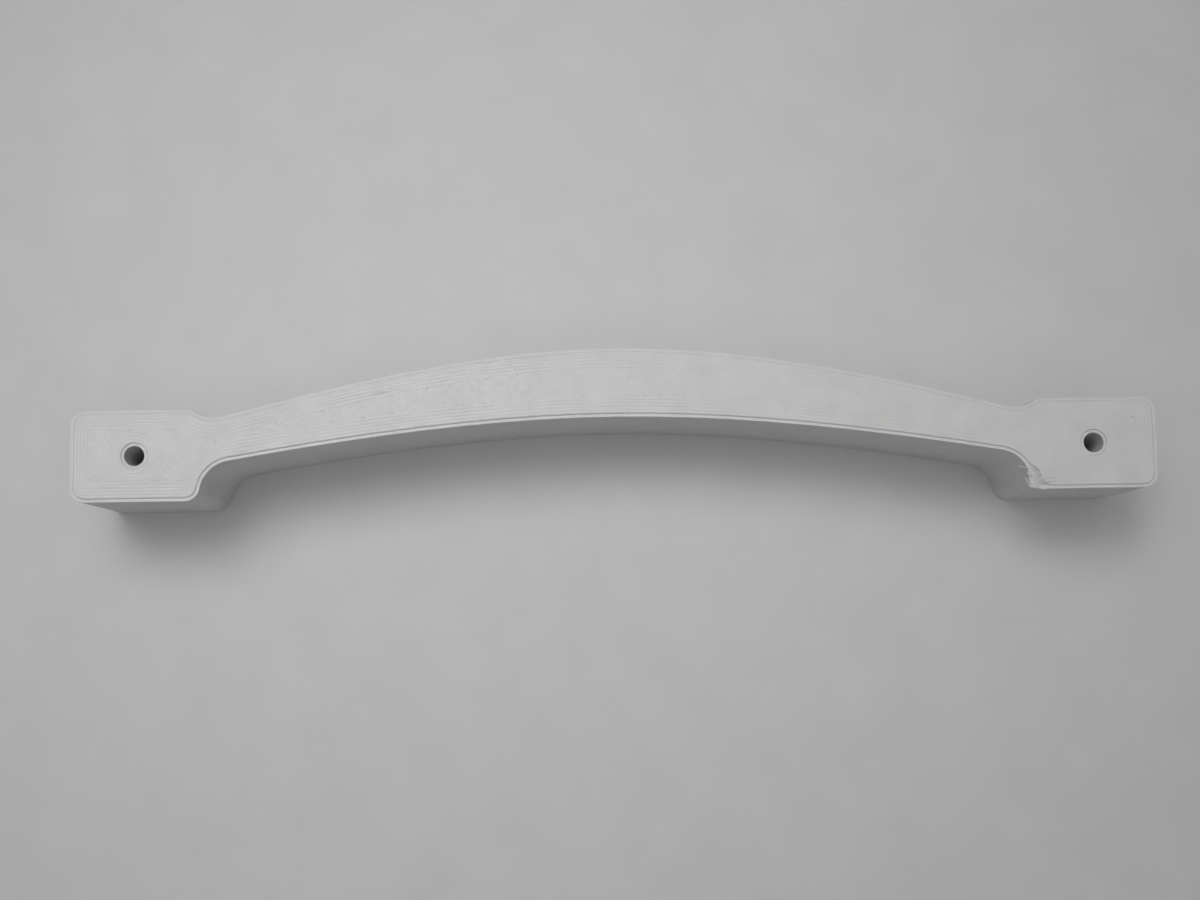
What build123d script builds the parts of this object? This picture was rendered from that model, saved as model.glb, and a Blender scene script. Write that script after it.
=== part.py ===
"""Bridge pull handle, printed in one piece: two end pads joined by an arched bar.

It lies flat on its back. +X runs along the handle, +Y points to the outside of the
bow and +Z is up, away from the panel that it is screwed to. The origin is midway
between the two screw holes, on the back face. Sizes are in millimetres.
"""
import os
from math import cos, radians, tan

from build123d import *

# ---- fixing ----
hole_spacing = 128.0        # centre to centre of the screw holes
hole_diameter = 2.6

# ---- body ----
depth = 20.0                # back face to front face
pad_length = 17.2
pad_height = 12.3
end_margin = 8.5            # screw hole to the end of its pad
corner_radius = 2.0
junction_radius = 4.5       # the sweep from the bar into a pad, above and below

# ---- arched bar, heights above the line through the screw holes ----
root_depth = 4.7            # how far the bar runs on inside each pad
crown_top = 13.67
crown_under = 4.34
root_top = 3.13
root_under = -2.27
root_angle_top = 15.0       # how steeply each curve falls at its end
root_angle_under = 10.0

# ---- front edge: the last printed layer stops short of the outline ----
layer_height = 0.2
ledge_width = 0.4

pad_middle = hole_spacing / 2 + end_margin - pad_length / 2
arch_reach = pad_middle - pad_length / 2 + root_depth
shoulder = depth - layer_height


def half_arch(crown, root, angle):
    """Control points of a curve that is level at the crown and falls to the root."""
    third = arch_reach / 3
    return [
        (0, crown),
        (third, crown),
        (2 * third, root + third * tan(radians(angle))),
        (arch_reach, root),
    ]


def slab(plane, height, inset):
    """The handle's outline, drawn in by inset all round and raised from the plane."""
    top_drop = inset / cos(radians(root_angle_top))
    under_rise = inset / cos(radians(root_angle_under))

    with BuildPart() as layer:
        # one rounded pad
        with BuildSketch(plane):
            with Locations((pad_middle, 0)):
                RectangleRounded(
                    pad_length - 2 * inset, pad_height - 2 * inset, corner_radius - inset
                )
        extrude(amount=height)

        # the half of the bar that runs into it
        with BuildSketch(plane):
            with BuildLine():
                top = Bezier(*half_arch(crown_top - inset, root_top - top_drop, root_angle_top))
                under = Bezier(
                    *half_arch(crown_under + inset, root_under + under_rise, root_angle_under)
                )
                Line(top @ 0, under @ 0)
                Line(top @ 1, under @ 1)
            make_face()
        extrude(amount=height)

        # where they meet, the bar sweeps into the pad above and below
        fillet(layer.edges(Select.NEW), junction_radius + inset)

        mirror(about=Plane.YZ)
    return layer.part


body = slab(Plane.XY, shoulder, 0)
last_layer = slab(Plane.XY.offset(shoulder), layer_height, ledge_width)

with BuildPart() as handle:
    add(body)
    add(last_layer)
    # screw holes, straight through, with the same ledge round their mouths
    with Locations((-hole_spacing / 2, 0, depth), (hole_spacing / 2, 0, depth)):
        CounterBoreHole(hole_diameter / 2, hole_diameter / 2 + ledge_width, layer_height)

handle.part.label = "handle"
os.makedirs("parts", exist_ok=True)
export_step(handle.part, "parts/handle.step")
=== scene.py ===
import random
from math import radians

import bmesh
import bpy
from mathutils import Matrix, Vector, noise


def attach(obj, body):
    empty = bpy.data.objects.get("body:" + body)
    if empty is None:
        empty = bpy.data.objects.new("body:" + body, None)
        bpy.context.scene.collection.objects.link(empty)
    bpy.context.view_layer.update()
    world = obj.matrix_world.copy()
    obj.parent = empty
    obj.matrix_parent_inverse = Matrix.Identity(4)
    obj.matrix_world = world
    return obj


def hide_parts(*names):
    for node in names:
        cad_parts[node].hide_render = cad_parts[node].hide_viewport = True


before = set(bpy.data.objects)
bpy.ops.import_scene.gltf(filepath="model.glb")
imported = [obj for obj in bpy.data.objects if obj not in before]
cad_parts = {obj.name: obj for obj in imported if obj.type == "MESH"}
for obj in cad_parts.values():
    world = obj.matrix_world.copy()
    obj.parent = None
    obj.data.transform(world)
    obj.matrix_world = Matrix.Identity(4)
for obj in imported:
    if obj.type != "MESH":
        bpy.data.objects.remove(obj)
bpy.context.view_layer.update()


# ======== handle ========
# One piece of off-white plastic, printed flat on its back in 0.2 mm layers. Each layer is
# laid as beads round the outline, so the sides carry a fine groove between layers. The
# last layer stops a bead short of the edge and shows the lines that it was laid in.
MM = 0.001
tiny = 0.001 * MM
layer = 0.2 * MM
line = 0.45 * MM
depth = 20 * MM
shoulder = depth - layer
bore_radius = 1.3 * MM
bore_centres = [Vector((side * 64 * MM, 0, 0)) for side in (-1, 1)]
random.seed(7)


def verts_in(edges):
    return list({v for e in edges for v in e.verts})


def from_bore(point):
    """The distance and direction from the nearer bore's axis, and that bore's centre."""
    centre = min(bore_centres, key=lambda c: (point.xy - c.xy).length)
    away = (point - centre) * Vector((1, 1, 0))
    return away.length, away.normalized(), centre


def part_loops(edges):
    """Parts the edges of the outline from those of the bores."""
    bores = {e for e in edges if from_bore(e.verts[0].co)[0] < bore_radius * 1.3}
    return [e for e in edges if e not in bores], list(bores)


# the outline and the bores, from the foot of the solid
bm = bmesh.new()
bm.from_mesh(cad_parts["handle"].data)
bmesh.ops.remove_doubles(bm, verts=bm.verts, dist=tiny)
bmesh.ops.delete(bm, geom=[v for v in bm.verts if v.co.z > tiny], context="VERTS")
bmesh.ops.delete(bm, geom=[e for e in bm.edges if not e.is_boundary], context="EDGES_FACES")

# the sides, with a ring at the middle of each layer and one in the groove between layers
half_layers = round(shoulder / layer) * 2
made = bmesh.ops.extrude_edge_only(bm, edges=bm.edges[:])
bmesh.ops.translate(bm, verts=[g for g in made["geom"] if isinstance(g, bmesh.types.BMVert)],
                    vec=(0, 0, shoulder))
uprights = [e for e in bm.edges if abs(e.verts[0].co.z - e.verts[1].co.z) > layer]
bmesh.ops.subdivide_edges(bm, edges=uprights, cuts=half_layers - 1)
bmesh.ops.recalc_face_normals(bm, faces=bm.faces[:])

side_groove = 0.022 * MM
layer_wander = 0.012 * MM
foot_round = 0.06 * MM
shoulder_round = 0.04 * MM
draws = [random.uniform(0, layer_wander) for _ in range(half_layers // 2 + 1)]
for v in bm.verts:
    half = round(v.co.z / layer * 2)
    radius, away, _ = from_bore(v.co)
    inward = away if radius < bore_radius * 1.3 else -v.normal
    draw = draws[half // 2]
    if half == 0:
        draw = foot_round
    elif half == half_layers:
        draw = shoulder_round
    elif half % 2 == 0:
        draw += side_groove
    v.co += inward * draw
for e in bm.edges:
    low, high = (round(v.co.z / layer * 2) for v in e.verts)
    e.smooth = low != high or low % 2 == 1

# more points along both rims, so that the lines on the faces can waver
point_step = 0.7 * MM
for e in [e for e in bm.edges if e.is_boundary]:
    cuts = int(e.calc_length() / point_step)
    if cuts:
        bmesh.ops.bisect_edges(bm, edges=[e], cuts=cuts)

# Each end is closed by rings that follow the outline, rings round each bore, and slanting
# beads between them. A step is how far it goes, its height and whether a groove runs there.
GROOVE, ROUND = True, False
corner_radius = 2 * MM
corner_centres = [Vector((sx * x * MM, sy * 4.15 * MM)) for sx in (-1, 1) for sy in (-1, 1)
                  for x in (57.3, 70.5)]


def rim_at(height):
    """A mesh of its own that holds the rims at one end of the sides."""
    face = bm.copy()
    bmesh.ops.delete(face, geom=[v for v in face.verts if abs(v.co.z - height) > tiny],
                     context="VERTS")
    return face, *part_loops(face.edges[:])


def sharpen_corners(face, verts, radius):
    """Draws what is left of each rounded corner together into one point."""
    for centre in corner_centres:
        arc = [v for v in verts if v.is_valid and (v.co.xy - centre).length < radius * 1.6]
        out = sum(((v.co.xy - centre) for v in arc), Vector((0, 0))).normalized()
        end_corner = abs(centre.x) > bore_centres[1].x
        point = centre + out * radius * (1.41 if end_corner else 1.1)
        bmesh.ops.pointmerge(face, verts=arc, merge_co=(point.x, point.y, arc[0].co.z))


def step_inwards(face, edges, steps):
    cap = bmesh.ops.edgeloop_fill(face, edges=edges)["faces"][0]
    radius = corner_radius
    for inset, height, groove in steps:
        bmesh.ops.inset_region(face, faces=[cap], thickness=inset * MM, use_boundary=True,
                               use_even_offset=True)
        radius -= inset * MM
        for v in cap.verts:
            v.co.z = height * MM
        for e in cap.edges:
            e.smooth = not groove
        if 0 < radius < 0.3 * MM:
            sharpen_corners(face, cap.verts[:], radius)
            radius = -1
            cap = max(face.faces, key=lambda f: f.calc_area())
    edges = cap.edges[:]
    bmesh.ops.delete(face, geom=[cap], context="FACES_ONLY")
    return edges


def step_outwards(face, edges, steps):
    for radius, height, groove in steps:
        made = bmesh.ops.extrude_edge_only(face, edges=edges)
        edges = [g for g in made["geom"] if isinstance(g, bmesh.types.BMEdge)
                 and g.is_boundary]
        for v in verts_in(edges):
            _, away, centre = from_bore(v.co)
            v.co = centre + away * radius * MM
            v.co.z = height * MM
        for e in edges:
            e.smooth = not groove
    return edges


def slice_up(face, geom, across, places):
    """Cuts along a row of parallel planes, halving the row each time."""
    if not places:
        return
    middle = len(places) // 2
    at = places[middle]
    geom = bmesh.ops.bisect_plane(face, geom=geom, dist=tiny / 10, plane_co=across * at,
                                  plane_no=across)["geom"]
    sides = {g: [v.co.dot(across) - at for v in (g.verts if hasattr(g, "verts") else [g])]
             for g in geom}
    slice_up(face, [g for g, s in sides.items() if max(s) < tiny / 2], across,
             places[:middle])
    slice_up(face, [g for g, s in sides.items() if min(s) > -tiny / 2], across,
             places[middle + 1:])


def fill_between(face, edges, across, cuts, peak, valley):
    """Fills what the rings leave with straight beads, laid square to across."""
    rings = set(face.faces)
    bmesh.ops.triangle_fill(face, edges=edges, use_beauty=True, normal=(0, 0, 1))
    for direction, step in cuts:
        faces = [f for f in face.faces if f not in rings]
        reach = [v.co.dot(direction) for f in faces for v in f.verts]
        slice_up(face, list({g for f in faces for g in (f, *f.edges, *f.verts)}), direction,
                 [i * step for i in range(int(min(reach) / step), int(max(reach) / step) + 1)])
    rim = {v for f in rings for v in f.verts}
    inner = {v for f in face.faces if f not in rings for v in f.verts}
    for v in inner - rim:
        phase = v.co.dot(across) / line
        v.co.z = valley + (peak - valley) * abs(phase - round(phase)) * 2
    return inner & rim


def join_on(face):
    mesh = bpy.data.meshes.new("face")
    face.to_mesh(mesh)
    face.free()
    bm.from_mesh(mesh)
    bpy.data.meshes.remove(mesh)


# the front: a ledge one bead wide, then the last layer, a rounded step up from it
front, outline, bores = rim_at(shoulder)
inner = step_inwards(front, outline, [
    (0.05, 19.79, ROUND), (0.1, 19.8, ROUND), (0.25, 19.77, GROOVE),
    (0.02, 19.88, ROUND), (0.05, 19.955, ROUND), (0.155, 20, ROUND), (0.225, 19.955, GROOVE),
] + [(0.225, 19.998, ROUND), (0.225, 19.955, GROOVE)] * 4)
mouths = step_outwards(front, bores, [
    (1.34, 19.795, ROUND), (1.45, 19.8, ROUND), (1.7, 19.77, GROOVE),
    (1.72, 19.88, ROUND), (1.77, 19.955, ROUND), (1.9, 20, ROUND), (2.13, 19.955, GROOVE),
    (2.345, 19.998, ROUND), (2.56, 19.955, GROOVE), (2.775, 19.998, ROUND),
    (2.99, 19.955, GROOVE), (3.205, 19.998, ROUND), (3.42, 19.955, GROOVE),
])
slant = Vector((1, 1, 0)).normalized()
along = Vector((-1, 1, 0)).normalized()
ends = fill_between(front, inner + mouths, slant, [(slant, line / 2), (along, 0.6 * MM)],
                    19.995 * MM, 19.95 * MM)

# uneven beads: some lines are pressed flat, some stand proud, and blobs sit at their ends
for v in front.verts:
    if v.co.z > 19.9 * MM:
        broad = noise.noise(v.co / (6 * MM))
        fine = noise.noise(v.co / (0.9 * MM))
        pressed = 0.85 + 0.8 * broad + 0.5 * fine
        if v.co.x > 40 * MM:
            pressed *= 0.7
        v.co.z = depth - (depth - v.co.z) * max(0.25, pressed)
        if v.co.z > 19.94 * MM:
            v.co.x += 0.03 * MM * noise.noise(v.co / (1.3 * MM) + Vector((5, 0, 0)))
            v.co.y += 0.03 * MM * noise.noise(v.co / (1.3 * MM) + Vector((0, 9, 0)))
for v in sorted(ends, key=lambda v: (v.co.x, v.co.y)):
    if random.random() < 0.16:
        v.co.z = depth + random.uniform(0, 0.02) * MM

# the nick in the bar
nick = Vector((-31.4, 7.8)) * MM
for v in front.verts:
    off = v.co.xy - nick
    if abs(off.x) < 0.45 * MM and abs(off.y) < 0.2 * MM:
        v.co.z -= 0.14 * MM

join_on(front)

# the foot, pressed flat and smooth against the bed
foot, outline, bores = rim_at(0)
inner = step_inwards(foot, outline, [(0.08, 0, ROUND)]
                     + [(0.225, 0, ROUND), (0.225, 0.01, GROOVE)] * 3)
mouths = step_outwards(foot, bores, [(1.36, 0, ROUND), (1.6, 0, ROUND), (1.8, 0.01, GROOVE)])
fill_between(foot, inner + mouths, along, [(along, line / 2)], 0, 0.01 * MM)
join_on(foot)

bmesh.ops.remove_doubles(bm, verts=bm.verts, dist=tiny / 10)

# the corner that lifted while it cooled: the last layer is torn back from its edge, and
# the beads below it are squeezed outwards, slumped and rough
torn = Vector((55.5, -5.1)) * MM
kept = Vector((56.4, -4.4)) * MM
outwards = Vector((-0.8, -0.6))
slump_depth = 1.8 * MM
for v in bm.verts:
    near = min(1.8 * (1 - (v.co.xy - torn).length / (2.4 * MM)), 1)
    high = min(1 - (shoulder - v.co.z) / slump_depth, 1)
    if near <= 0 or high <= 0:
        continue
    rough = noise.noise(v.co / (0.33 * MM) + Vector((2, 2, 2)))
    if v.co.z > 19.86 * MM:
        v.co.xy -= outwards * near * (0.85 + 0.35 * rough) * MM
        v.co.z += 0.05 * rough * near * MM
    else:
        out = min(max((v.co.xy - kept).dot(outwards) / (1.5 * MM), 0), 1)
        v.co.z -= high * near * (0.05 + 0.8 * out + 0.24 * rough) * MM
        v.co.xy += outwards * high * near * out * (0.36 + 0.25 * rough) * MM

bmesh.ops.recalc_face_normals(bm, faces=bm.faces[:])
for f in bm.faces:
    f.smooth = True
mesh = bpy.data.meshes.new("printed_handle")
bm.to_mesh(mesh)
bm.free()
handle = bpy.data.objects.new("printed_handle", mesh)
bpy.context.scene.collection.objects.link(handle)
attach(handle, "root")
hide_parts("handle")

# matte plastic with a faint sheen, a little cloudier and rougher from place to place
plastic = bpy.data.materials.new("printed_plastic")
plastic.use_nodes = True
nodes, links = plastic.node_tree.nodes, plastic.node_tree.links
shader = nodes["Principled BSDF"]
place = nodes.new("ShaderNodeTexCoord")


def cloud(size, detail):
    """A noise in object space whose patches are about size wide."""
    texture = nodes.new("ShaderNodeTexNoise")
    texture.inputs["Scale"].default_value = 1 / size
    texture.inputs["Detail"].default_value = detail
    links.new(place.outputs["Object"], texture.inputs["Vector"])
    return texture.outputs["Fac"]


def spread(value, low, high):
    """Maps the middle of a noise onto a range."""
    ramp = nodes.new("ShaderNodeMapRange")
    ramp.inputs["From Min"].default_value = 0.3
    ramp.inputs["From Max"].default_value = 0.7
    ramp.inputs["To Min"].default_value = low
    ramp.inputs["To Max"].default_value = high
    links.new(value, ramp.inputs["Value"])
    return ramp.outputs["Result"]


tone = nodes.new("ShaderNodeMix")
tone.data_type = "RGBA"
tone.inputs["A"].default_value = (0.565, 0.565, 0.56, 1)
tone.inputs["B"].default_value = (0.605, 0.605, 0.6, 1)
links.new(spread(cloud(3 * MM, 4), 0, 1), tone.inputs["Factor"])
links.new(tone.outputs["Result"], shader.inputs["Base Color"])
links.new(spread(cloud(0.8 * MM, 3), 0.36, 0.56), shader.inputs["Roughness"])
grain = nodes.new("ShaderNodeBump")
grain.inputs["Strength"].default_value = 0.5
grain.inputs["Distance"].default_value = 0.02 * MM
links.new(cloud(0.35 * MM, 5), grain.inputs["Height"])
links.new(grain.outputs["Normal"], shader.inputs["Normal"])
mesh.materials.append(plastic)


# ======== torn strands ========
# Short ends of bead that came loose at the torn corner and lie along its edge, and one
# hair of plastic that was drawn out of it. They are the same plastic as the handle.
strands = [
    ([(54.8, -4.0, 19.7), (55.1, -4.15, 19.84), (55.45, -4.3, 19.72)], 0.1),
    ([(54.8, -4.6, 19.3), (54.9, -5.0, 19.4), (55.1, -5.4, 19.42), (55.4, -5.8, 19.3)],
     0.09),
    ([(55.2, -5.65, 19.3), (55.6, -5.95, 19.6), (56.1, -5.9, 19.3)], 0.17),
    ([(55.9, -5.2, 19.3), (56.2, -5.45, 19.5), (56.7, -5.6, 19.4)], 0.07),
    ([(56.3, -5.9, 19.66), (56.7, -6.2, 19.72), (57.3, -6.16, 19.7)], 0.09),
    ([(56.9, -5.35, 19.97), (57.4, -5.1, 20.03), (58.1, -5.2, 20.0), (59.3, -5.22, 19.98)],
     0.09),
    ([(57.2, -4.75, 19.97), (57.9, -4.6, 20.02), (58.8, -4.72, 19.98)], 0.07),
    ([(55.1, -3.3, 19.8), (54.6, -3.24, 19.88), (54.1, -3.16, 19.9), (53.6, -3.02, 19.92)],
     0.06),
]
curve = bpy.data.curves.new("torn_strands", "CURVE")
curve.dimensions = "3D"
curve.bevel_depth = 1
curve.bevel_resolution = 2
curve.use_fill_caps = True
curve.resolution_u = 6
for points, thickness in strands:
    strand = curve.splines.new("NURBS")
    strand.points.add(len(points) - 1)
    for point, spot in zip(strand.points, points):
        point.co = (*(Vector(spot) * MM), 1)
        point.radius = thickness * MM
    strand.order_u = 3
    strand.use_endpoint_u = True
torn_strands = bpy.data.objects.new("torn_strands", curve)
bpy.context.scene.collection.objects.link(torn_strands)
curve.materials.append(plastic)
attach(torn_strands, "root")


# ======== desk ========
# A plain pale desk top, matte, that the handle lies on.
bm = bmesh.new()
bmesh.ops.create_grid(bm, x_segments=1, y_segments=1, size=1.5)
bmesh.ops.translate(bm, verts=bm.verts, vec=(0, 0, -0.01 * MM))
mesh = bpy.data.meshes.new("desk")
bm.to_mesh(mesh)
bm.free()
desk = bpy.data.objects.new("desk", mesh)
bpy.context.scene.collection.objects.link(desk)

desk_top = bpy.data.materials.new("desk_top")
desk_top.use_nodes = True
nodes, links = desk_top.node_tree.nodes, desk_top.node_tree.links
shader = nodes["Principled BSDF"]
shader.inputs["Roughness"].default_value = 0.6
place = nodes.new("ShaderNodeTexCoord")
tone = nodes.new("ShaderNodeMix")
tone.data_type = "RGBA"
tone.inputs["A"].default_value = (0.565, 0.565, 0.57, 1)
tone.inputs["B"].default_value = (0.59, 0.59, 0.59, 1)
links.new(spread(cloud(9 * MM, 4), 0, 1), tone.inputs["Factor"])
links.new(tone.outputs["Result"], shader.inputs["Base Color"])
mesh.materials.append(desk_top)


# ======== light ========
# A soft lamp above and a little behind, aimed at the handle, a wide dim one overhead, and
# an even room light that shows as a pale backdrop.
room = bpy.data.worlds.new("room")
bpy.context.scene.world = room
room.use_nodes = True
nodes, links = room.node_tree.nodes, room.node_tree.links
lit = nodes["Background"]
lit.inputs["Color"].default_value = (1, 1, 1, 1)
lit.inputs["Strength"].default_value = 0.2
backdrop = nodes.new("ShaderNodeBackground")
backdrop.inputs["Color"].default_value = (1, 1, 1, 1)
backdrop.inputs["Strength"].default_value = 0.5
ray = nodes.new("ShaderNodeLightPath")
seen = ray.outputs["Is Camera Ray"]
for other in ("Is Glossy Ray", "Is Transmission Ray"):
    either = nodes.new("ShaderNodeMath")
    either.operation = "MAXIMUM"
    links.new(seen, either.inputs[0])
    links.new(ray.outputs[other], either.inputs[1])
    seen = either.outputs["Value"]
choose = nodes.new("ShaderNodeMixShader")
links.new(seen, choose.inputs["Fac"])
links.new(lit.outputs["Background"], choose.inputs[1])
links.new(backdrop.outputs["Background"], choose.inputs[2])
links.new(choose.outputs["Shader"], nodes["World Output"].inputs["Surface"])


def lamp(name, width, length, power, spread, place, aim):
    """A rectangular lamp at a place, turned towards its aim."""
    light = bpy.data.lights.new(name, "AREA")
    light.shape = "RECTANGLE"
    light.size, light.size_y = width, length
    light.energy = power
    light.spread = radians(spread)
    holder = bpy.data.objects.new(name, light)
    bpy.context.scene.collection.objects.link(holder)
    holder.location = place
    holder.rotation_euler = (Vector(aim) - Vector(place)).to_track_quat("-Z", "Y").to_euler()


lamp("window_light", 0.24, 0.17, 0.073, 50, (-0.08, 0.13, 0.36), (-0.02, 0.015, 0))
lamp("ceiling_light", 0.9, 0.9, 1.8, 180, (0, 0, 0.8), (0, 0, 0))


# ======== camera ========
lens = bpy.data.cameras.new("camera")
lens.lens = 47.75
lens.sensor_width = 36
camera = bpy.data.objects.new("camera", lens)
bpy.context.scene.collection.objects.link(camera)
camera.location = Vector((-5.92, -23.19, 230.73)) * MM
camera.rotation_euler = (radians(6.2655), radians(-0.9117), radians(-0.9196))
bpy.context.scene.camera = camera

bpy.context.scene.view_settings.view_transform = "Standard"
